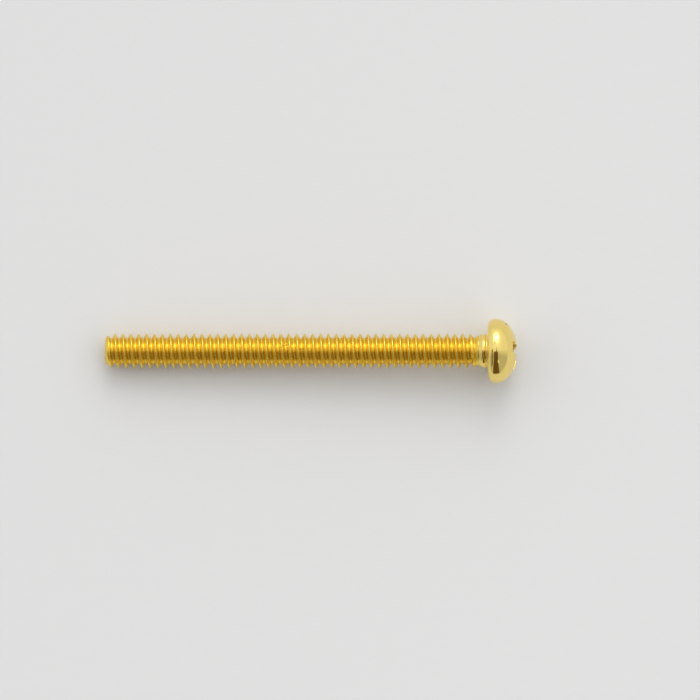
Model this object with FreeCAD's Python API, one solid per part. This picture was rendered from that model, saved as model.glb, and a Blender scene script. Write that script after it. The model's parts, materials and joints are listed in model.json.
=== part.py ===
"""Pickup screw: a long machine screw with a domed head and a cross recess, lying at rest."""

import FreeCAD, Part
import math
import os

# Lengths are in millimetres and angles in degrees.

# Shank, from the bearing face under the head down to the flat end of the point.
SHANK_LENGTH = 38.4
THREAD_DIAMETER = 3.505
POINT_LENGTH = 0.9
POINT_DIAMETER = 2.9
POINT_EDGE_RADIUS = 0.2

# Low rounded collar under the head. Its two slopes would meet at the ridge, before it is rounded.
COLLAR_RIDGE_DIAMETER = 3.56
COLLAR_FOOT_DIAMETER = 3.2
COLLAR_LENGTH = 0.88
COLLAR_ROUNDING = 0.5
COLLAR_FILLET = 0.12

# Plain blank below the collar, which the rolled thread runs out into.
BLANK_DIAMETER = 3.08
BLANK_LENGTH = 0.12
RUN_OUT_LENGTH = 1.0

# Head, from the bearing face up to the crown of its dome, which the recess cuts away.
HEAD_DIAMETER = 6.5
HEAD_HEIGHT = 2.97
RIM_HEIGHT = 0.85
RIM_EDGE_RADIUS = 0.65

# Cross recess. Its span is measured tip to tip where the wings meet the dome.
RECESS_SPAN = 3.85
RECESS_FLOOR_SPAN = 2.29
WING_FLOOR_WIDTH = 0.82
CORE_FLOOR_DIAMETER = 1.53
WING_END_SLOPE = 26.5
WING_SIDE_DRAFT = 5.75
CORE_DRAFT = 8.6
FLOOR_CONE_ANGLE = 140.0

# Turn of the recess about the screw's axis, as the screw happened to come to rest.
RECESS_TURN = -15.0

# How far the tool that cuts the recess stands out over the crown.
CUTTER_OVERHANG = 1.0

thread_radius = THREAD_DIAMETER / 2
collar_radius = COLLAR_RIDGE_DIAMETER / 2
blank_radius = BLANK_DIAMETER / 2
point_radius = POINT_DIAMETER / 2
head_radius = HEAD_DIAMETER / 2
dome_rise = HEAD_HEIGHT - RIM_HEIGHT
origin = FreeCAD.Vector(0, 0, 0)
screw_axis = FreeCAD.Vector(0, 0, 1)
crosswise = FreeCAD.Vector(0, 1, 0)


def slope(angle):
    """Sideways step for each millimetre along the axis, at an angle to the axis."""
    return math.tan(math.radians(angle))


def dome_height(radius):
    """Height of the dome over the bearing face at a distance from the axis."""
    return RIM_HEIGHT + dome_rise * math.sqrt(1 - (radius / head_radius) ** 2)


# Heights of the recess: where the wings end, the point of the conical floor, and the cutter's top.
floor_radius = RECESS_FLOOR_SPAN / 2
mouth_radius = RECESS_SPAN / 2
wing_floor = dome_height(mouth_radius) - (mouth_radius - floor_radius) / slope(WING_END_SLOPE)
recess_bottom = wing_floor - floor_radius / slope(FLOOR_CONE_ANGLE / 2)
cutter_top = HEAD_HEIGHT + CUTTER_OVERHANG


def widened(floor_size, angle, height):
    """A half width of the recess at a height, from its size at the wings' floor and its draft."""
    return floor_size / 2 + (height - wing_floor) * slope(angle)


def at(radius, height):
    """A point of an outline that is turned about the screw's axis."""
    return FreeCAD.Vector(radius, 0, height)


def turned(edges):
    """The solid made by turning a closed outline about the screw's axis."""
    return Part.Face(Part.Wire(edges)).revolve(origin, screw_axis, 360)


def rounding(before, corner, after, radius):
    """The arc that rounds a corner between two straight lines of an outline."""
    back = (before - corner).normalize()
    ahead = (after - corner).normalize()
    half_angle = back.getAngle(ahead) / 2
    reach = radius / math.tan(half_angle)
    middle = (back + ahead).normalize() * (radius / math.sin(half_angle) - radius)
    return Part.Arc(corner + back * reach, corner + middle, corner + ahead * reach)


def outline_through(corners):
    """Edges through a list of (point, rounding radius), with an arc where the radius is over zero."""
    edges = []
    reached = corners[0][0]
    for index, (corner, radius) in enumerate(corners[1:], start=1):
        if radius > 0:
            arc = rounding(corners[index - 1][0], corner, corners[index + 1][0], radius)
            edges += [Part.makeLine(reached, arc.StartPoint), arc.toShape()]
            reached = arc.EndPoint
        else:
            edges.append(Part.makeLine(reached, corner))
            reached = corner
    return edges


def dome_outline(rim, crown):
    """A quarter of an ellipse, from the rim of the head up to its crown."""
    longer, shorter = (rim, crown) if head_radius >= dome_rise else (crown, rim)
    ellipse = Part.Ellipse(longer, shorter, at(0, RIM_HEIGHT))
    first, last = sorted([ellipse.parameter(rim), ellipse.parameter(crown)])
    return Part.Arc(ellipse, first, last).toShape()


def blank():
    """Point, shank, collar and head as one turned solid, before the recess is pressed in."""
    tip = at(0, -SHANK_LENGTH)
    rim = at(head_radius, RIM_HEIGHT)
    crown = at(0, HEAD_HEIGHT)
    run_out_end = -COLLAR_LENGTH - BLANK_LENGTH
    side = outline_through([
        (tip, 0),
        (at(point_radius, -SHANK_LENGTH), POINT_EDGE_RADIUS),
        (at(thread_radius, POINT_LENGTH - SHANK_LENGTH), 0),
        (at(thread_radius, run_out_end - RUN_OUT_LENGTH), 0),
        (at(blank_radius, run_out_end), 0),
        (at(blank_radius, -COLLAR_LENGTH), 0),
        (at(collar_radius, -COLLAR_LENGTH / 2), COLLAR_ROUNDING),
        (at(COLLAR_FOOT_DIAMETER / 2, 0), COLLAR_FILLET),
        (at(head_radius, 0), RIM_EDGE_RADIUS),
        (rim, 0),
    ])
    return turned(side + [dome_outline(rim, crown), Part.makeLine(crown, tip)])


def blade_section(height):
    """The rectangle of one pair of opposite wings, cut through at a height."""
    half_width = widened(WING_FLOOR_WIDTH, WING_SIDE_DRAFT, height)
    corner = FreeCAD.Vector(RECESS_SPAN, half_width, height)
    across = FreeCAD.Vector(-2 * corner.x, 0, 0)
    back = FreeCAD.Vector(0, -2 * half_width, 0)
    return Part.makePolygon([corner, corner + across, corner + across + back, corner + back, corner])


def recess():
    """The space that the driver fills: four tapered wings round a core, over a conical floor."""
    mouth = widened(RECESS_FLOOR_SPAN, WING_END_SLOPE, cutter_top)
    envelope = turned(outline_through([
        (at(0, recess_bottom), 0),
        (at(floor_radius, wing_floor), 0),
        (at(mouth, cutter_top), 0),
        (at(0, cutter_top), 0),
        (at(0, recess_bottom), 0),
    ]))
    wings = Part.makeLoft([blade_section(recess_bottom), blade_section(cutter_top)], True, True)
    crossing_wings = wings.copy()
    crossing_wings.rotate(origin, screw_axis, 90)
    core = Part.makeCone(
        widened(CORE_FLOOR_DIAMETER, CORE_DRAFT, recess_bottom),
        widened(CORE_FLOOR_DIAMETER, CORE_DRAFT, cutter_top),
        cutter_top - recess_bottom,
        at(0, recess_bottom),
    )
    cutter = envelope.common(wings.fuse([crossing_wings, core]))
    cutter.rotate(origin, screw_axis, RECESS_TURN)
    return cutter


def resting_tilt():
    """Angle between axis and floor when the head's rim and the end of the thread both touch it."""
    drop = head_radius - RIM_EDGE_RADIUS - thread_radius
    reach = RIM_EDGE_RADIUS + SHANK_LENGTH - POINT_LENGTH
    lean = math.asin(RIM_EDGE_RADIUS / math.hypot(reach, drop))
    return math.degrees(math.atan2(drop, reach) + lean)


def screw():
    """The screw at rest: head towards +X, and the centre of its bearing face on the origin."""
    solid = blank().cut(recess()).removeSplitter().Solids[0]
    solid.rotate(origin, crosswise, 90 - resting_tilt())
    return solid


os.makedirs("parts", exist_ok=True)
screw().exportStep("parts/screw.step")
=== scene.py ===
"""Models the gold-plated pickup screw on its table, with its light and camera, as a Blender add-on."""

import json
import math

import bmesh
import bpy
from mathutils import Matrix, Vector


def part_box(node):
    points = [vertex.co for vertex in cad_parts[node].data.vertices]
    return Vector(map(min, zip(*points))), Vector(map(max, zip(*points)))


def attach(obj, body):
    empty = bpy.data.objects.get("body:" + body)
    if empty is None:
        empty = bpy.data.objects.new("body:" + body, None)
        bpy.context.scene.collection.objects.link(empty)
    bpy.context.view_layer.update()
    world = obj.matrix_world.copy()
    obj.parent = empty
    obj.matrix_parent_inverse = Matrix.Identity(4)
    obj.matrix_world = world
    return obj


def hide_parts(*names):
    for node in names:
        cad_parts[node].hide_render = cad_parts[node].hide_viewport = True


bl_info = {
    "name": "Pickup Screw",
    "version": (1, 0, 0),
    "blender": (4, 5, 0),
    "location": "View3D > Sidebar > Screw",
    "description": "Models a plated machine screw with its thread and recess, and the table it lies on",
    "category": "Add Mesh",
}

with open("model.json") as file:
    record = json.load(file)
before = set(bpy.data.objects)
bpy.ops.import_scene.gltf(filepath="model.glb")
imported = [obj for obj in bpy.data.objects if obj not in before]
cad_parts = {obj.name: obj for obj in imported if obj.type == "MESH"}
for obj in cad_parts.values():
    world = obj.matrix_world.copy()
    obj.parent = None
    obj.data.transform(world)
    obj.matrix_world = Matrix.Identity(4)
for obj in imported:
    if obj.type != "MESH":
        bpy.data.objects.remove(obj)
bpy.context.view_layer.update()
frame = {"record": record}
mounts = {mount["name"]: mount for mount in frame["record"]["mounts"]}

MM = 0.001
AXIS = Vector((0, 0, 1))
CENTRE = Vector((0, 0, 0))
WHITE = (1, 1, 1, 1)

# Heights that are nearer to each other than this count as one.
NEAR = 0.001 * MM

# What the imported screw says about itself, in metres. Its axis points from the bearing face to the tip.
towards_tip = Vector(mounts["bearing_face"]["axis"]).normalized()
thread_middle = Vector(mounts["thread"]["pos_m"]).length
thread_length = mounts["thread"]["dims"]["length_mm"] * MM
thread_radius = mounts["thread"]["dims"]["r_mm"] * MM
thread_start = thread_middle - thread_length / 2
thread_end = thread_middle + thread_length / 2
lowest_corner, highest_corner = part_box("screw")
head_width = highest_corner[1] - lowest_corner[1]


class ScrewSizes(bpy.types.PropertyGroup):
    """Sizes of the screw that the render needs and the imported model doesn't name."""

    head_diameter: bpy.props.FloatProperty(
        name="Head Diameter", description="Width of the head at its rim", default=head_width, unit="LENGTH")
    head_height: bpy.props.FloatProperty(
        name="Head Height", description="Bearing face to the crown of the dome", default=2.97 * MM,
        unit="LENGTH")
    rim_height: bpy.props.FloatProperty(
        name="Rim Height", description="Bearing face to the foot of the dome", default=0.85 * MM,
        unit="LENGTH")
    rim_edge: bpy.props.FloatProperty(
        name="Rim Edge", description="Rounding of the rim at the bearing face", default=0.65 * MM,
        unit="LENGTH")
    collar_ridge: bpy.props.FloatProperty(
        name="Collar Ridge", description="Width of the collar where its two slopes would meet",
        default=3.56 * MM, unit="LENGTH")
    collar_foot: bpy.props.FloatProperty(
        name="Collar Foot", description="Width of the collar where it would meet the bearing face",
        default=3.2 * MM, unit="LENGTH")
    collar_rounding: bpy.props.FloatProperty(
        name="Collar Rounding", description="Rounding of the collar's ridge", default=0.5 * MM, unit="LENGTH")
    collar_fillet: bpy.props.FloatProperty(
        name="Collar Fillet", description="Rounding between collar and bearing face", default=0.12 * MM,
        unit="LENGTH")
    collar_length: bpy.props.FloatProperty(
        name="Collar Length", description="Bearing face to the collar's end on the shank", default=0.88 * MM,
        unit="LENGTH")
    blank_diameter: bpy.props.FloatProperty(
        name="Blank Diameter", description="Plain wire that the thread is rolled from", default=3.08 * MM,
        unit="LENGTH")
    blank_length: bpy.props.FloatProperty(
        name="Blank Length", description="Collar's end to the first rise of the crests",
        default=0.12 * MM, unit="LENGTH")
    groove_fade: bpy.props.FloatProperty(
        name="Groove Fade", description="Bearing face to where the last groove starts to fade",
        default=1.5 * MM, unit="LENGTH")
    shank_length: bpy.props.FloatProperty(
        name="Shank Length", description="Bearing face to the flat end", default=thread_end + 0.9 * MM,
        unit="LENGTH")
    point_diameter: bpy.props.FloatProperty(
        name="Point Diameter", description="Width of the flat end", default=2.9 * MM, unit="LENGTH")
    point_edge: bpy.props.FloatProperty(
        name="Point Edge", description="Rounding round the flat end", default=0.2 * MM, unit="LENGTH")
    pitch: bpy.props.FloatProperty(
        name="Pitch", description="Distance between turns of the thread", default=25.4 / 32 * MM,
        unit="LENGTH")
    root_share: bpy.props.FloatProperty(
        name="Root Share", description="Half width of a groove's round root, as a share of the pitch",
        default=0.11, subtype="FACTOR")
    crest_rounding: bpy.props.FloatProperty(
        name="Crest Rounding", description="Rounding of the crest's two corners", default=0.05 * MM,
        unit="LENGTH")
    crest_phase: bpy.props.FloatProperty(
        name="Crest Phase", description="Bearing face to a crest on the picture's upper side, in turns",
        default=0.19, subtype="FACTOR")
    dome_seam: bpy.props.FloatProperty(
        name="Dome Seam", description="Axis to where the turned dome meets the part that holds the recess",
        default=2.45 * MM, unit="LENGTH")


class RecessSizes(bpy.types.PropertyGroup):
    """Sizes of the cross recess."""

    span: bpy.props.FloatProperty(
        name="Span", description="Wing tip to wing tip on the dome", default=3.85 * MM, unit="LENGTH")
    floor_span: bpy.props.FloatProperty(
        name="Floor Span", description="Wing tip to wing tip at the floor", default=2.29 * MM, unit="LENGTH")
    wing_width: bpy.props.FloatProperty(
        name="Wing Width", description="Width of a wing at its floor", default=0.82 * MM, unit="LENGTH")
    core_diameter: bpy.props.FloatProperty(
        name="Core Diameter", description="Width of the core at the floor", default=1.53 * MM, unit="LENGTH")
    end_slope: bpy.props.FloatProperty(
        name="End Slope", description="Lean of the wing ends", default=math.radians(26.5), unit="ROTATION")
    side_draft: bpy.props.FloatProperty(
        name="Side Draft", description="Lean of the wing sides", default=math.radians(5.75), unit="ROTATION")
    core_draft: bpy.props.FloatProperty(
        name="Core Draft", description="Lean of the core", default=math.radians(8.6), unit="ROTATION")
    floor_angle: bpy.props.FloatProperty(
        name="Floor Angle", description="Rise of the conical floor", default=math.radians(20),
        unit="ROTATION")
    turn: bpy.props.FloatProperty(
        name="Turn", description="Turn of the recess about the axis", default=math.radians(-15),
        unit="ROTATION")
    edge: bpy.props.FloatProperty(
        name="Edge", description="Rounding of the mouth", default=0.07 * MM, unit="LENGTH")


class GoldFinish(bpy.types.PropertyGroup):
    """Look of the plating."""

    colour: bpy.props.FloatVectorProperty(
        name="Gold", description="Colour of the clean plating", subtype="COLOR", size=3, min=0, max=1,
        default=(0.97, 0.76, 0.24))
    cloud_colour: bpy.props.FloatVectorProperty(
        name="Clouded Gold", description="Colour of the plating where it is faintly clouded",
        subtype="COLOR", size=3, min=0, max=1, default=(0.95, 0.73, 0.22))
    # Painted shade: a deeper gold for the thread, standing in for the light's bounces between the turns.
    groove_shade_colour: bpy.props.FloatVectorProperty(
        name="Groove Gold", description="Deeper colour of the plating between the turns", subtype="COLOR",
        size=3, min=0, max=1, default=(0.89, 0.625, 0.09))
    # Painted shade: a darker gold for the recess, standing in for the shade and dimmer reflections inside it.
    recess_shade_colour: bpy.props.FloatVectorProperty(
        name="Recess Gold", description="Dull colour of the plating inside the recess", subtype="COLOR",
        size=3, min=0, max=1, default=(0.80, 0.56, 0.14))
    worn_colour: bpy.props.FloatVectorProperty(
        name="Worn Spots", description="Colour where the plating is rubbed through", subtype="COLOR",
        size=3, min=0, max=1, default=(0.20, 0.12, 0.05))
    roughness: bpy.props.FloatProperty(
        name="Roughness", description="Roughness of the polished head", default=0.08, subtype="FACTOR")
    thread_roughness: bpy.props.FloatProperty(
        name="Thread Roughness", description="Roughness of the rolled thread", default=0.25, subtype="FACTOR")
    recess_roughness: bpy.props.FloatProperty(
        name="Recess Roughness", description="Roughness that the recess adds", default=0.3, subtype="FACTOR")
    worn_roughness: bpy.props.FloatProperty(
        name="Worn Roughness", description="Roughness that a worn spot adds", default=0.2, subtype="FACTOR")


class RoomLight(bpy.types.PropertyGroup):
    """Light of the room that the gold mirrors, where a strength of 1 is white."""

    wall_strength: bpy.props.FloatProperty(
        name="Wall Strength", description="Strength of the walls on the picture's lower side", default=0.50,
        subtype="FACTOR")
    wall_rise: bpy.props.FloatProperty(
        name="Wall Rise", description="Strength that the walls gain towards the picture's upper side",
        default=0.35, subtype="FACTOR")
    key_strength: bpy.props.FloatProperty(
        name="Key Strength", description="Strength in the middle of the key light", default=3.6,
        subtype="UNSIGNED")
    glow_strength: bpy.props.FloatProperty(
        name="Glow Strength", description="Strength of the wide glow round the key light", default=0.22,
        subtype="FACTOR")
    glint_strength: bpy.props.FloatProperty(
        name="Glint Strength", description="Strength of the small light beside the stand", default=0.45,
        subtype="FACTOR")
    stand_darkness: bpy.props.FloatProperty(
        name="Stand Darkness", description="Share of the walls that the stand hides", default=0.75,
        subtype="FACTOR")
    gap_darkness: bpy.props.FloatProperty(
        name="Gap Darkness", description="Share of the walls that the gap in the tent lacks", default=0.8,
        subtype="FACTOR")
    lens_darkness: bpy.props.FloatProperty(
        name="Lens Darkness", description="Share of the light that the round lens hides", default=0.35,
        subtype="FACTOR")
    matt_gain: bpy.props.FloatProperty(
        name="Matt Gain", description="Share of light that matt surfaces get over what mirrors show",
        default=0.41, subtype="FACTOR")
    dark_tint: bpy.props.FloatVectorProperty(
        name="Dark Tint", description="Tint of the stand and the gap in mirrors", subtype="COLOR", size=3,
        min=0, max=1, default=(1, 0.62, 0.20))
    backdrop_colour: bpy.props.FloatVectorProperty(
        name="Backdrop", description="Colour that the camera sees past the table", subtype="COLOR", size=3,
        min=0, max=1, default=(0.9, 0.9, 0.9))


class StudioSetup(bpy.types.PropertyGroup):
    """Table and camera."""

    floor_colour: bpy.props.FloatVectorProperty(
        name="Floor", description="Colour of the table", subtype="COLOR", size=3, min=0, max=1,
        default=(0.80, 0.80, 0.795))
    table_width: bpy.props.FloatProperty(
        name="Table Width", description="Width of the table", default=4, unit="LENGTH")
    frame_width: bpy.props.FloatProperty(
        name="Frame Width", description="Width of table that the picture shows", default=70.2 * MM,
        unit="LENGTH")
    bearing_share: bpy.props.FloatProperty(
        name="Bearing Share", description="Picture's middle to the bearing face, in frame widths",
        default=138 / 700, subtype="FACTOR")
    axis_drop: bpy.props.FloatProperty(
        name="Axis Drop", description="Picture's middle down to the screw's axis", default=0.1 * MM,
        unit="LENGTH")
    camera_height: bpy.props.FloatProperty(
        name="Camera Height", description="Camera over the bearing face", default=1.3, unit="LENGTH")


# Helpers for outlines and for working by operators


def start_fresh():
    """Leave edit mode and select nothing."""
    if bpy.context.mode != "OBJECT":
        bpy.ops.object.mode_set(mode="OBJECT")
    bpy.ops.object.select_all(action="DESELECT")


def pick(piece):
    """Make one piece the only selected and the active one."""
    start_fresh()
    piece.select_set(True)
    bpy.context.view_layer.objects.active = piece


def drawn_outline(name, points):
    """A chain of vertices, drawn by extruding one vertex from point to point."""
    start_fresh()
    bpy.ops.mesh.primitive_plane_add(size=MM, location=points[0])
    piece = bpy.context.active_object
    piece.name = name
    bpy.ops.object.mode_set(mode="EDIT")
    bpy.ops.mesh.select_mode(type="VERT")
    bpy.ops.mesh.merge(type="CENTER")
    for here, there in zip(points, points[1:]):
        bpy.ops.mesh.extrude_vertices_move(TRANSFORM_OT_translate={"value": there - here})
    bpy.ops.object.mode_set(mode="OBJECT")
    bpy.ops.object.transform_apply(location=True)
    return piece


def weld(distance=2e-6):
    """Merge vertices that lie within a distance, and turn the faces outwards, in edit mode."""
    bpy.ops.mesh.select_all(action="SELECT")
    bpy.ops.mesh.remove_doubles(threshold=distance)
    bpy.ops.mesh.normals_make_consistent(inside=False)


def choose_edges(piece, test):
    """Select just the edges that pass a test, in edit mode."""
    bpy.ops.mesh.select_mode(type="EDGE")
    bpy.ops.mesh.select_all(action="DESELECT")
    mesh = bmesh.from_edit_mesh(piece.data)
    for edge in mesh.edges:
        if test(edge):
            edge.select_set(True)
    bmesh.update_edit_mesh(piece.data)


def arc(centre, radius, first, last, count):
    """Points on an arc in the XZ plane, its ends among them, with angles in radians from +X."""
    angles = [first + (last - first) * step / count for step in range(count + 1)]
    return [centre + radius * Vector((math.cos(angle), 0, math.sin(angle))) for angle in angles]


def rounding(before, corner, after, radius, count):
    """Points on the arc that rounds a corner of an outline in the XZ plane, its ends among them."""
    back = (before - corner).normalized()
    ahead = (after - corner).normalized()
    half_angle = back.angle(ahead) / 2
    centre = corner + (back + ahead).normalized() * radius / math.sin(half_angle)
    first = corner + back * radius / math.tan(half_angle) - centre
    last = corner + ahead * radius / math.tan(half_angle) - centre
    return [centre + first.slerp(last, step / count) * radius for step in range(count + 1)]


def shares(count):
    """Even shares of a way up to its end, leaving out its start."""
    return [step / count for step in range(1, count + 1)]


def between(start, end, count):
    """Points from start to end, leaving out the first."""
    return [start.lerp(end, share) for share in shares(count)]


def evenly(first, last, count):
    """Numbers from first to last, leaving out the last."""
    return [first + (last - first) * step / count for step in range(count)]


def polar(radius, angle):
    """A point of the XY plane at a distance and an angle from its centre."""
    return radius * math.cos(angle), radius * math.sin(angle)


# Thread


def thread_profile(sizes):
    """One pitch of the thread's section, from root to root, with a round root and softened crest."""
    root_steps, crest_steps = 3, 2
    flank_shares = (0.1, 0.5, 0.9)
    flank_angle = math.radians(60)
    middle = sizes.pitch / 2
    root_corner = sizes.root_share * sizes.pitch
    crest_corner = sizes.pitch / 16
    depth = (middle - crest_corner - root_corner) * math.tan(flank_angle)
    root_rounding = root_corner / math.tan(flank_angle / 2)
    crest_tangent = sizes.crest_rounding * math.tan(flank_angle / 2)

    root_centre = Vector((thread_radius - depth + root_rounding, 0, 0))
    lower_root = arc(root_centre, root_rounding, math.pi, math.pi - flank_angle, root_steps)
    crest_centre = Vector((thread_radius - sizes.crest_rounding, 0, middle - crest_corner + crest_tangent))
    lower_crest = arc(crest_centre, sizes.crest_rounding, -flank_angle, 0, crest_steps)
    flank = [lower_root[-1].lerp(lower_crest[0], share) for share in flank_shares]
    rising = lower_root + flank + lower_crest
    falling = [Vector((point.x, 0, sizes.pitch - point.z)) for point in reversed(rising)]
    return rising + falling


def smooth_step(value):
    """0 below 0, 1 above 1, and a smooth rise between."""
    value = min(max(value, 0), 1)
    return value * value * (3 - 2 * value)


def soft_least(first, second, width):
    """The lesser of two sizes, with the corner between them rounded over a width."""
    share = min(max(0.5 + (second - first) / (2 * width), 0), 1)
    return second + (first - second) * share - width * share * (1 - share)


def point_limit(sizes, height):
    """Greatest radius at a height that the tapered point and its rounded edge leave."""
    over_end = height + sizes.shank_length
    end_radius = sizes.point_diameter / 2
    taper = (thread_radius - end_radius) / (sizes.shank_length - thread_end)
    limit = end_radius + taper * over_end
    if over_end < sizes.point_edge:
        sunk = sizes.point_edge - max(over_end, 0)
        limit -= sizes.point_edge - math.sqrt(sizes.point_edge ** 2 - sunk ** 2)
    return limit


def run_out_limit(sizes, height):
    """Greatest radius at a height where the crests sink into the blank below the collar."""
    # Past the run-out the limit rises on to this share, well clear of the crests.
    highest_share = 1.5
    blank_radius = sizes.blank_diameter / 2
    run_out_end = sizes.collar_length + sizes.blank_length
    share = (-height - run_out_end) / (thread_start - run_out_end)
    return blank_radius + (thread_radius - blank_radius) * min(max(share, 0), highest_share)


def model_shank(sizes):
    """The threaded shank below the collar, open at the top, with its axis on Z."""
    spare_turns, steps_per_turn = 3, 72
    point_softness, run_out_softness = 0.04 * MM, 0.02 * MM
    turns = math.ceil(sizes.shank_length / sizes.pitch) + spare_turns
    # The crest is half a pitch up the profile, and a quarter turn on it reaches the picture's upper side.
    crest_rise = 0.5 + 0.25
    lowest = -(turns - 1 + sizes.crest_phase + crest_rise) * sizes.pitch
    shank = drawn_outline("shank", [point + AXIS * lowest for point in thread_profile(sizes)])
    bpy.ops.object.modifier_add(type="SCREW")
    thread = shank.modifiers[-1]
    thread.axis = "Z"
    thread.angle = 2 * math.pi
    thread.screw_offset = sizes.pitch
    thread.iterations = turns
    thread.steps = steps_per_turn
    thread.render_steps = steps_per_turn
    bpy.ops.object.modifier_apply(modifier=thread.name)

    bpy.ops.object.mode_set(mode="EDIT")
    weld()
    for height, side in ((-sizes.shank_length, -1), (-sizes.collar_length, 1)):
        bpy.ops.mesh.select_all(action="SELECT")
        bpy.ops.mesh.bisect(plane_co=AXIS * height, plane_no=AXIS * side, clear_outer=True, threshold=NEAR)
    bpy.ops.object.mode_set(mode="OBJECT")

    blank_radius = sizes.blank_diameter / 2
    fade_length = sizes.groove_fade - sizes.collar_length
    for vertex in shank.data.vertices:
        height = vertex.co.z
        radius = math.hypot(vertex.co.x, vertex.co.y)
        wanted = min(soft_least(radius, point_limit(sizes, height), point_softness),
                     soft_least(radius, run_out_limit(sizes, height), run_out_softness))
        wanted += (blank_radius - wanted) * smooth_step((height + sizes.groove_fade) / fade_length)
        vertex.co.x *= wanted / radius
        vertex.co.y *= wanted / radius

    pick(shank)
    bpy.ops.object.mode_set(mode="EDIT")
    at_end = -sizes.shank_length + NEAR
    choose_edges(shank, lambda edge: edge.is_boundary and all(v.co.z < at_end for v in edge.verts))
    bpy.ops.mesh.edge_face_add()
    bpy.ops.object.mode_set(mode="OBJECT")
    return shank


# Head


class Recess:
    """Heights and outline of the cross recess, with the wings along X and Y before its turn."""

    CORE_STEPS, SIDE_STEPS, END_STEPS = 7, 10, 14
    MEETING_PASSES = 8

    def __init__(self, sizes, recess):
        self.sizes = sizes
        self.recess = recess
        inward = (recess.span - recess.floor_span) / 2
        self.floor = self.dome(recess.span / 2) - inward / math.tan(recess.end_slope)
        self.bottom = self.floor - recess.floor_span / 2 * math.tan(recess.floor_angle)
        self.count = 4 * (2 * self.CORE_STEPS + 2 * self.SIDE_STEPS + self.END_STEPS)

    def dome(self, radius):
        """Height of the dome at a distance from the axis."""
        rise = self.sizes.head_height - self.sizes.rim_height
        return self.sizes.rim_height + rise * math.sqrt(1 - (2 * radius / self.sizes.head_diameter) ** 2)

    def floor_cone(self, radius):
        """Height of the conical floor at a distance from the axis."""
        return self.bottom + radius * math.tan(self.recess.floor_angle)

    def quarter(self, height):
        """Points of the outline round one wing, at one height, from one core's middle to the next."""
        up = height - self.floor
        half_width = self.recess.wing_width / 2 + up * math.tan(self.recess.side_draft)
        end = self.recess.floor_span / 2 + up * math.tan(self.recess.end_slope)
        core = self.recess.core_diameter / 2 + up * math.tan(self.recess.core_draft)
        core_corner = math.asin(half_width / core)
        end_corner = math.asin(half_width / end)
        inner, outer = core * math.cos(core_corner), end * math.cos(end_corner)
        points = [polar(core, angle) for angle in evenly(-math.pi / 4, -core_corner, self.CORE_STEPS)]
        points += [(x, -half_width) for x in evenly(inner, outer, self.SIDE_STEPS)]
        points += [polar(end, angle) for angle in evenly(-end_corner, end_corner, self.END_STEPS)]
        points += [(x, half_width) for x in evenly(outer, inner, self.SIDE_STEPS)]
        points += [polar(core, angle) for angle in evenly(core_corner, math.pi / 4, self.CORE_STEPS)]
        return points

    def point(self, index, height):
        """One point of the outline at a height."""
        per_wing = self.count // 4
        x, y = self.quarter(height)[index % per_wing]
        angle = index // per_wing * math.pi / 2 + self.recess.turn
        cosine, sine = polar(1, angle)
        return Vector((x * cosine - y * sine, x * sine + y * cosine, height))

    def meeting(self, index, surface, start):
        """Where a line of the wall meets a surface, which gives the height at a distance from the axis."""
        height = start
        for _ in range(self.MEETING_PASSES):
            height = surface(self.point(index, height).xy.length)
        return self.point(index, height)


def softened(ring, passes=2):
    """A closed ring with its corners eased by averaging neighbours."""
    for _ in range(passes):
        count = len(ring)
        ring = [(ring[i - 1] + 2 * ring[i] + ring[(i + 1) % count]) / 4 for i in range(count)]
    return ring


def on_dome(shape, point):
    """The point of the dome straight above or below a point."""
    return Vector((point.x, point.y, shape.dome(point.xy.length)))


def recess_rings(shape, outer_ring):
    """Rings of points from a circle on the dome, over the mouth's edge and down the walls to the floor."""
    indices = range(shape.count)
    mouth = softened([shape.meeting(i, shape.dome, shape.sizes.head_height) for i in indices])
    foot = softened([shape.meeting(i, shape.floor_cone, shape.floor) for i in indices])
    edge = shape.recess.edge
    brink = [on_dome(shape, point + (point.xy.normalized() * edge).to_3d()) for point in mouth]
    lip = [top + (bottom - top).normalized() * edge for top, bottom in zip(mouth, foot)]
    dome_steps, edge_steps, wall_steps, floor_steps = 14, 4, 8, 6
    rings = []
    for share in shares(dome_steps):
        rings.append([on_dome(shape, a.lerp(b, share)) for a, b in zip(outer_ring, brink)])
    for share in shares(edge_steps):
        rings.append([a.lerp(b, share).lerp(b.lerp(c, share), share) for a, b, c in zip(brink, mouth, lip)])
    for share in shares(wall_steps):
        rings.append([a.lerp(b, share) for a, b in zip(lip, foot)])
    for share in shares(floor_steps)[:-1]:
        ring = [point.xy * (1 - share) for point in foot]
        rings.append([Vector((point.x, point.y, shape.floor_cone(point.length))) for point in ring])
    return rings


def model_dome_top(shape, radius):
    """The top of the dome with the recess in it, extruded ring by ring from a circle inwards."""
    start_fresh()
    bpy.ops.mesh.primitive_circle_add(vertices=shape.count, radius=radius, location=(0, 0, 0))
    piece = bpy.context.active_object
    piece.name = "dome_top"
    ring = []
    for index, vertex in enumerate(piece.data.vertices):
        angle = 2 * math.pi * index / shape.count - math.pi / 4 + shape.recess.turn
        vertex.co = (*polar(radius, angle), shape.dome(radius))
        ring.append(vertex.co.copy())
    bpy.ops.object.mode_set(mode="EDIT")
    bpy.ops.mesh.select_all(action="SELECT")
    for points in recess_rings(shape, ring):
        bpy.ops.mesh.extrude_edges_move()
        mesh = bmesh.from_edit_mesh(piece.data)
        moved = [vertex for vertex in mesh.verts if vertex.select]
        for vertex, point in zip(moved, points):
            vertex.co = point
        bmesh.update_edit_mesh(piece.data)
    bpy.ops.mesh.edge_face_add()
    bpy.ops.mesh.poke()
    mesh = bmesh.from_edit_mesh(piece.data)
    mesh.verts.ensure_lookup_table()
    mesh.verts[-1].co = (0, 0, shape.bottom)
    bmesh.update_edit_mesh(piece.data)
    bpy.ops.object.mode_set(mode="OBJECT")
    return piece


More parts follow.
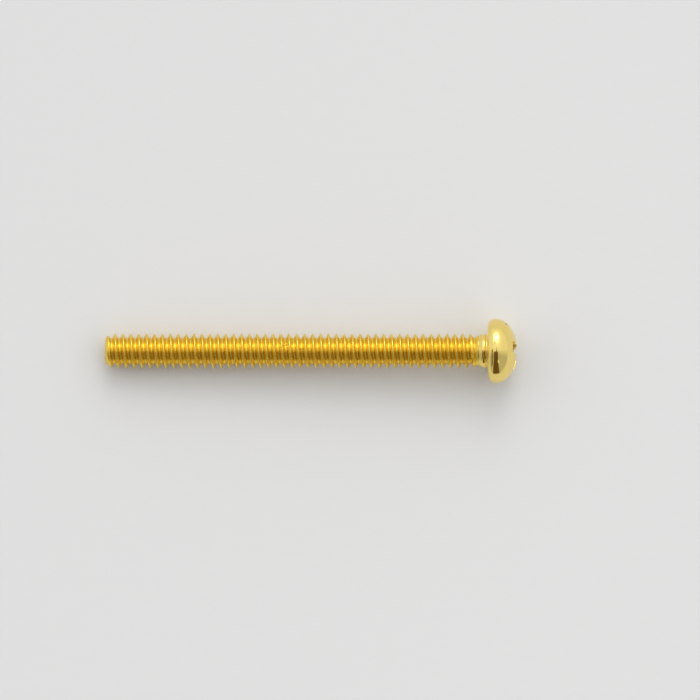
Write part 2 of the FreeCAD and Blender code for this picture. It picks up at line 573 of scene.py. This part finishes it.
def head_profile(sizes, dome_radius):
    """Points from a ring on the dome, over the rim and the bearing face to just above the collar's end."""
    dome_steps, rim_steps, face_steps, fillet_steps, slope_steps, crown_steps = 16, 8, 5, 5, 4, 8
    radius = sizes.head_diameter / 2
    rise = sizes.head_height - sizes.rim_height
    start_angle = math.acos(dome_radius / radius)
    points = []
    for step in range(dome_steps + 1):
        angle = start_angle * (1 - step / dome_steps)
        points.append(Vector((radius * math.cos(angle), 0, sizes.rim_height + rise * math.sin(angle))))
    rim_centre = Vector((radius - sizes.rim_edge, 0, sizes.rim_edge))
    points += arc(rim_centre, sizes.rim_edge, 0, -math.pi / 2, rim_steps)
    foot = Vector((sizes.collar_foot / 2, 0, 0))
    ridge = Vector((sizes.collar_ridge / 2, 0, -sizes.collar_length / 2))
    blank = Vector((sizes.blank_diameter / 2, 0, -sizes.collar_length))
    fillet = rounding(points[-1], foot, ridge, sizes.collar_fillet, fillet_steps)
    crown = rounding(foot, ridge, blank, sizes.collar_rounding, crown_steps)
    points += between(points[-1], fillet[0], face_steps) + fillet[1:]
    points += between(fillet[-1], crown[0], slope_steps) + crown[1:]
    return points + between(crown[-1], blank, slope_steps)[:-1]


def model_head(sizes, recess):
    """Dome, rim, bearing face and collar, open just above the collar's end."""
    shape = Recess(sizes, recess)
    top = model_dome_top(shape, sizes.dome_seam)
    side = drawn_outline("head", head_profile(sizes, sizes.dome_seam))
    bpy.ops.object.mode_set(mode="EDIT")
    bpy.ops.mesh.select_all(action="SELECT")
    bpy.ops.mesh.spin(steps=shape.count, angle=2 * math.pi, center=CENTRE, axis=AXIS)
    bpy.ops.object.mode_set(mode="OBJECT")
    side.data.transform(Matrix.Rotation(recess.turn - math.pi / 4, 4, "Z"))
    return [side, top]


def lay_down(piece):
    """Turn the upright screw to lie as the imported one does."""
    pick(piece)
    towards_head = -towards_tip
    piece.rotation_euler = (0, math.acos(towards_head.z), 0)
    bpy.ops.object.transform_apply(rotation=True)


# Shader nodes


class Socket:
    """A shader value that can be used in sums: an expression on sockets adds its Math nodes."""

    def __init__(self, nodes, output):
        self.nodes = nodes
        self.output = output

    def maths(self, operation, *values):
        """What a Math node makes of values, which are numbers or sockets."""
        return self.nodes.add("ShaderNodeMath", {"operation": operation}, dict(enumerate(values)))

    def __add__(self, other):
        return self.maths("ADD", self, other)

    def __radd__(self, other):
        return self.maths("ADD", other, self)

    def __sub__(self, other):
        return self.maths("SUBTRACT", self, other)

    def __rsub__(self, other):
        return self.maths("SUBTRACT", other, self)

    def __mul__(self, other):
        return self.maths("MULTIPLY", self, other)

    def __rmul__(self, other):
        return self.maths("MULTIPLY", other, self)

    def __truediv__(self, other):
        return self.maths("DIVIDE", self, other)

    def __pow__(self, other):
        return self.maths("POWER", self, other)

    def at_least(self, low):
        """The greater of this value and another."""
        return self.maths("MAXIMUM", self, low)

    def clamped(self, low, high):
        """This value as a share of the way from low to high, held between 0 and 1."""
        inputs = {"Value": self, "From Min": low, "From Max": high}
        return self.nodes.add("ShaderNodeMapRange", {"clamp": True}, inputs)

    def within(self, centre, inner, outer):
        """1 where this value is nearer to centre than inner, falling to 0 at outer."""
        return 1 - self.maths("ABSOLUTE", self - centre).clamped(inner, outer)


class Nodes:
    """Adds nodes to one tree, each by its type, settings and inputs."""

    def __init__(self, tree):
        self.tree = tree
        tree.nodes.clear()

    def add(self, kind, settings=None, inputs=None, output=0):
        """One output of a new node. Settings are set first, then inputs, which are values or sockets."""
        node = self.tree.nodes.new(kind)
        for name, value in (settings or {}).items():
            setattr(node, name, value)
        for name, value in (inputs or {}).items():
            if isinstance(value, Socket):
                self.tree.links.new(value.output, node.inputs[name])
            else:
                node.inputs[name].default_value = value
        return Socket(self, node.outputs[output]) if node.outputs else None

    def parts(self, vector):
        """The three numbers of a vector."""
        separated = self.add("ShaderNodeSeparateXYZ", None, {"Vector": vector}).output.node
        return [Socket(self, output) for output in separated.outputs]

    def noise(self, coordinates, size, detail=2.0, roughness=0.5):
        """Noise between 0 and 1 with features of a size in metres."""
        inputs = {"Vector": coordinates, "Scale": 1 / size, "Detail": detail, "Roughness": roughness}
        return self.add("ShaderNodeTexNoise", None, inputs)

    def mixed(self, share, first, second):
        """A colour between two."""
        # The Mix node has sockets of the same names for numbers and vectors, so these go by their places.
        factor, colour_a, colour_b, result = 0, 6, 7, 2
        inputs = {factor: share, colour_a: first, colour_b: second}
        return self.add("ShaderNodeMix", {"data_type": "RGBA"}, inputs, output=result)


# Worn spots on the upper side: distance from the bearing face, place across, and half length, in mm.
WORN_SPOTS = ((-20.26, 0.60, 0.16), (-18.66, 0.20, 0.13), (1.80, 2.70, 0.14))


def worn_spots(nodes, place, x, y, z):
    """Share of wear at small spots where the plating is rubbed through."""
    ragged_size, raggedness = 0.12 * MM, 0.16 * MM
    length_to_width = 1.8
    bare_share = 0.4
    ragged = (nodes.noise(place, ragged_size, detail=3) - 0.5) * raggedness
    spots = 0
    for along, across, reach in WORN_SPOTS:
        off_x = x - along * MM
        off_y = (y - across * MM) * length_to_width
        off = (off_x * off_x + off_y * off_y) ** 0.5 + ragged
        spots = spots + (1 - off.clamped(bare_share * reach * MM, reach * MM))
    upper_side = z.clamped(0.2 * MM, 0.4 * MM)
    return spots * upper_side


def inside_recess(sizes, height, radius):
    """1 on the walls and floor of the recess and 0 on the rest of the screw."""
    across = radius / (sizes.head_diameter / 2)
    dome_rise = sizes.head_height - sizes.rim_height
    dome = sizes.rim_height + dome_rise * (1 - across * across).at_least(0) ** 0.5
    under_dome = (dome - height).clamped(0.05 * MM, 0.15 * MM)
    in_head = height.clamped(0.3 * MM, 0.5 * MM)
    in_mouth = 1 - radius.clamped(1.95 * MM, 2.05 * MM)
    return under_dome * in_head * in_mouth


def gold_plate(sizes, finish):
    """Bright plated gold with faint clouding and wear, and with painted shade: deeper gold in the grooves,
    and darker, duller gold in the recess.
    """
    cloud_size, grain_size = 1.6 * MM, 0.09 * MM
    cloud_roughness, grain_roughness = 0.05, 0.05
    bump_strength, bump_height = 0.12, 0.004 * MM
    crest_shade_lift, worn_cover = 0.3, 0.85
    material = bpy.data.materials.new("gold_plate")
    material.use_nodes = True
    nodes = Nodes(material.node_tree)
    place = nodes.add("ShaderNodeTexCoord", output="Object")
    x, y, z = nodes.parts(place)
    height = -towards_tip.x * x - towards_tip.z * z
    radius = (x * x + y * y + z * z - height * height).at_least(0) ** 0.5
    recess = inside_recess(sizes, height, radius)
    thread = 1 - height.clamped(-1.1 * MM, -0.5 * MM)
    crest = radius.clamped(1.45 * MM, 1.74 * MM)
    # Painted shade: the whole thread takes the deeper groove gold, a little less of it on the crests.
    groove = thread * (1 - crest_shade_lift * crest)
    wear = worn_spots(nodes, place, x, y, z)
    cloud = nodes.noise(place, cloud_size, detail=3)
    grain = nodes.noise(place, grain_size, detail=4)
    gold = nodes.mixed(cloud.clamped(0.3, 0.7), (*finish.colour, 1), (*finish.cloud_colour, 1))
    gold = nodes.mixed(groove, gold, (*finish.groove_shade_colour, 1))
    # Painted shade: the darker gold inside the recess.
    gold = nodes.mixed(recess, gold, (*finish.recess_shade_colour, 1))
    gold = nodes.mixed(worn_cover * wear, gold, (*finish.worn_colour, 1))
    roughness = finish.roughness + (finish.thread_roughness - finish.roughness) * thread
    roughness = roughness + cloud_roughness * cloud.clamped(0.35, 0.75) + grain_roughness * (grain - 0.5)
    roughness = roughness + finish.recess_roughness * recess + finish.worn_roughness * wear
    bump = nodes.add("ShaderNodeBump", None, {
        "Strength": bump_strength, "Distance": bump_height, "Height": grain})
    shader = nodes.add("ShaderNodeBsdfPrincipled", None, {
        "Base Color": gold, "Metallic": 1.0, "Roughness": roughness, "Normal": bump})
    nodes.add("ShaderNodeOutputMaterial", None, {"Surface": shader})
    return material


class SCREW_OT_gold_screw(bpy.types.Operator):
    """Model the screw with its thread and recess, lay it down and plate it"""

    bl_idname = "screw.gold_screw"
    bl_label = "Gold Screw"

    def execute(self, context):
        sizes = context.scene.screw_sizes
        shank = model_shank(sizes)
        head_parts = model_head(sizes, context.scene.recess_sizes)
        pick(shank)
        for part in head_parts:
            part.select_set(True)
        bpy.ops.object.join()
        shank.name = "gold_screw"
        bpy.ops.object.mode_set(mode="EDIT")
        weld()
        choose_edges(shank, lambda edge: edge.is_boundary)
        bpy.ops.mesh.bridge_edge_loops()
        weld(distance=0.5e-6)
        bpy.ops.object.mode_set(mode="OBJECT")
        sharp_from = math.radians(40)
        bpy.ops.object.shade_smooth_by_angle(angle=sharp_from)
        lay_down(shank)
        shank.data.materials.clear()
        shank.data.materials.append(gold_plate(sizes, context.scene.gold_finish))
        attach(shank, "root")
        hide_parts("screw")
        return {"FINISHED"}


def pale_table(colour):
    """Matt pale table top with faint mottling along it, a little darker to the left."""
    darkest_level = 0.955
    mottle_size, mottle_stretch, mottle_weight = 0.9 * MM, (0.4, 1, 1), 0.5
    fade_start, fade_end = -60 * MM, 10 * MM
    matt_roughness = 0.85
    material = bpy.data.materials.new("table")
    material.use_nodes = True
    nodes = Nodes(material.node_tree)
    place = nodes.add("ShaderNodeTexCoord", output="Object")
    stretched = nodes.add("ShaderNodeVectorMath", {"operation": "MULTIPLY"}, {0: place, 1: mottle_stretch})
    mottle = nodes.noise(stretched, mottle_size, detail=4, roughness=0.7)
    fade = nodes.parts(place)[0].clamped(fade_start, fade_end)
    share = mottle_weight * mottle + (1 - mottle_weight) * fade
    darkest = (*(darkest_level * level for level in colour), 1)
    tint = nodes.mixed(share, darkest, (*colour, 1))
    shader = nodes.add("ShaderNodeBsdfPrincipled", None, {"Base Color": tint, "Roughness": matt_roughness})
    nodes.add("ShaderNodeOutputMaterial", None, {"Surface": shader})
    return material


# Soft-edged patches of the room. Each is given in two directions, and in each of them by its middle, its
# half width and its half width with the soft edge.
GLOW = ((0.15, 0.15, 0.65), (math.radians(42), math.radians(12), math.radians(45)))
GLINT = ((0.31, 0.05, 0.15), (-0.60, 0.03, 0.09))
GAP = ((-0.48, 0.09, 0.17), (-0.33, 0.38, 0.48))


def patch(across, along, place):
    """1 inside a soft-edged patch of the room."""
    across_place, along_place = place
    return across.within(*across_place) * along.within(*along_place)


def key_light(x, lean):
    """1 in the middle of the key light, fading to 0 on an ellipse round it."""
    middle_x, half_width = 0.09, 0.5
    middle_lean, half_lean = math.radians(50), math.radians(34)
    full_share, fall_off = 0.16, 3
    off_x = (x - middle_x) / half_width
    off_lean = (lean - middle_lean) / half_lean
    off = (off_x * off_x + off_lean * off_lean) ** 0.5
    return (1 - off.clamped(full_share, 1)) ** fall_off


def camera_stand(x, y):
    """1 on the camera's stand: an arm that widens from its top, with a shoulder and a broad foot."""
    top_width, arm_width, shoulder_width, foot_width = 0.01, 0.045, 0.18, 0.08
    middle, shoulder_shift = 0.08, 0.02
    stand_top, arm_top, arm_length = 0.27, 0.26, 0.30
    solid_share, faded_share = 0.75, 1.1
    down = -1 * y
    arm = (arm_top - y).clamped(0, arm_length)
    shoulder = down.clamped(0, 0.06)
    foot = down.clamped(0.6, 0.95)
    half_width = top_width + arm_width * arm + shoulder_width * shoulder + foot_width * foot
    off = (x - middle + shoulder_shift * shoulder) / half_width
    below_top = (stand_top - y).clamped(0, 0.06)
    return off.within(0, solid_share, faded_share) * below_top


def round_lens(x, y):
    """1 inside the soft-edged disc that the camera's lens makes."""
    middle_x, middle_y = -0.05, 0.5
    inner_radius, outer_radius = 0.05, 0.10
    off_x = x - middle_x
    off_y = y - middle_y
    return 1 - (off_x * off_x + off_y * off_y).clamped(inner_radius ** 2, outer_radius ** 2)


def lit_room(light):
    """A pale tent with a key light over the picture's upper side, and the dark stand, a gap and the lens.

    A direction is told by its X and Y, which run to the picture's right and top, and by its lean from
    straight up towards the top. Matt surfaces get more light than mirrors show, and no dark tint.
    """
    world = bpy.data.worlds.new("room")
    bpy.context.scene.world = world
    world.use_nodes = True
    nodes = Nodes(world.node_tree)
    direction = nodes.add("ShaderNodeTexCoord", output="Generated")
    x, y, z = nodes.parts(direction)
    lean = y.maths("ARCTAN2", y, z)
    stand = camera_stand(x, y)
    gap = patch(x, y, GAP)
    rise_start, rise_end = -0.25, 0.10
    strength = light.wall_strength + light.wall_rise * y.clamped(rise_start, rise_end)
    strength = strength * (1 - light.stand_darkness * stand) * (1 - light.gap_darkness * gap)
    strength = strength + light.glint_strength * patch(x, y, GLINT)
    strength = strength + light.glow_strength * patch(x, lean, GLOW)
    strength = strength + light.key_strength * key_light(x, lean)
    strength = strength * (1 - light.lens_darkness * round_lens(x, y))
    diffuse_ray = nodes.add("ShaderNodeLightPath", output="Is Diffuse Ray")
    strength = strength * (1 + light.matt_gain * diffuse_ray)
    dark = stand.at_least(gap) * (1 - diffuse_ray)
    tone = nodes.mixed(dark, WHITE, (*light.dark_tint, 1))
    room = nodes.add("ShaderNodeBackground", None, {"Color": tone, "Strength": strength})
    backdrop = nodes.add("ShaderNodeBackground", None, {"Color": (*light.backdrop_colour, 1), "Strength": 1})
    camera_ray = nodes.add("ShaderNodeLightPath", output="Is Camera Ray")
    surface = nodes.add("ShaderNodeMixShader", None, {0: camera_ray, 1: room, 2: backdrop})
    nodes.add("ShaderNodeOutputWorld", None, {"Surface": surface})


class SCREW_OT_stage(bpy.types.Operator):
    """Add the table, the lit room and the camera over the screw"""

    bl_idname = "screw.stage"
    bl_label = "Stage"

    def execute(self, context):
        studio = context.scene.studio_setup
        start_fresh()
        ground = lowest_corner[2]
        bpy.ops.mesh.primitive_plane_add(size=studio.table_width, location=(0, 0, ground))
        floor = context.active_object
        floor.name = "table"
        floor.data.materials.append(pale_table(studio.floor_colour))
        lit_room(context.scene.room_light)
        bearing_offset = studio.bearing_share * studio.frame_width
        bpy.ops.object.camera_add(location=(-bearing_offset, studio.axis_drop, studio.camera_height))
        camera = context.active_object
        camera.data.sensor_width = 36
        camera.data.lens = camera.data.sensor_width * studio.camera_height / studio.frame_width
        camera.data.clip_end = 10
        context.scene.camera = camera
        context.scene.view_settings.view_transform = "Standard"
        return {"FINISHED"}


class SCREW_PT_panel(bpy.types.Panel):
    """Settings and steps of the screw"""

    bl_label = "Pickup Screw"
    bl_idname = "SCREW_PT_panel"
    bl_space_type = "VIEW_3D"
    bl_region_type = "UI"
    bl_category = "Screw"

    def draw(self, context):
        layout = self.layout
        for group in SETTINGS:
            settings = getattr(context.scene, group)
            for name in settings.__annotations__:
                layout.prop(settings, name)
        layout.operator("screw.gold_screw")
        layout.operator("screw.stage")


SETTINGS = {
    "screw_sizes": ScrewSizes,
    "recess_sizes": RecessSizes,
    "gold_finish": GoldFinish,
    "room_light": RoomLight,
    "studio_setup": StudioSetup,
}
CLASSES = (*SETTINGS.values(), SCREW_OT_gold_screw, SCREW_OT_stage, SCREW_PT_panel)


def register():
    for cls in CLASSES:
        bpy.utils.register_class(cls)
    for name, group in SETTINGS.items():
        setattr(bpy.types.Scene, name, bpy.props.PointerProperty(type=group))


def unregister():
    for name in SETTINGS:
        delattr(bpy.types.Scene, name)
    for cls in reversed(CLASSES):
        bpy.utils.unregister_class(cls)


def main():
    register()
    bpy.ops.screw.gold_screw()
    bpy.ops.screw.stage()


if __name__ == "__main__":
    main()
